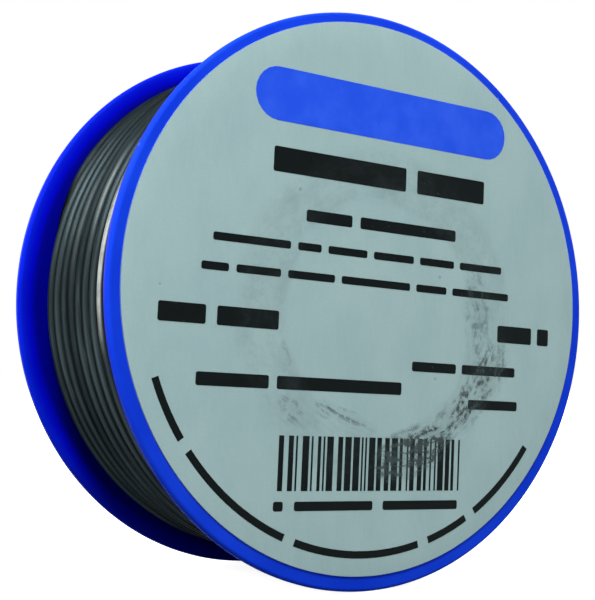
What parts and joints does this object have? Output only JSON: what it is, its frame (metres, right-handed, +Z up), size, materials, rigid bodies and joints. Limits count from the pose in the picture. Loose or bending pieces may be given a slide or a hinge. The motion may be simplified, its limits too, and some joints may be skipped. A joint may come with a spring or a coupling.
{
  "type": "solder wire spool",
  "caption": "Small flanged plastic reel wound with grey soft-solder wire, its front flange covered by a round paper label, standing on its rims.",
  "frame": {"origin": "on the surface the reel stands on, below the middle of its overall box", "axes": "+Z up, +Y along the reel's axis from the labelled front to the rear flange, +X to the right of someone who reads the label"},
  "size_m": [0.064, 0.0266, 0.064],
  "materials": {
    "blue_plastic": "satin-gloss injection-moulded polypropylene, royal blue",
    "solder": "dull to satin tin-lead wire, dark grey with a green-grey cast",
    "label_paper": "coated grey label paper with a faint vertical grain"
  },
  "bodies": {
    "root": {"front_spool_half": "blue_plastic", "rear_spool_half": "blue_plastic", "wire_inner_layers": "solder", "wire_outer_layer": "solder", "front_label": "label_paper"}
  },
  "joints": []
}
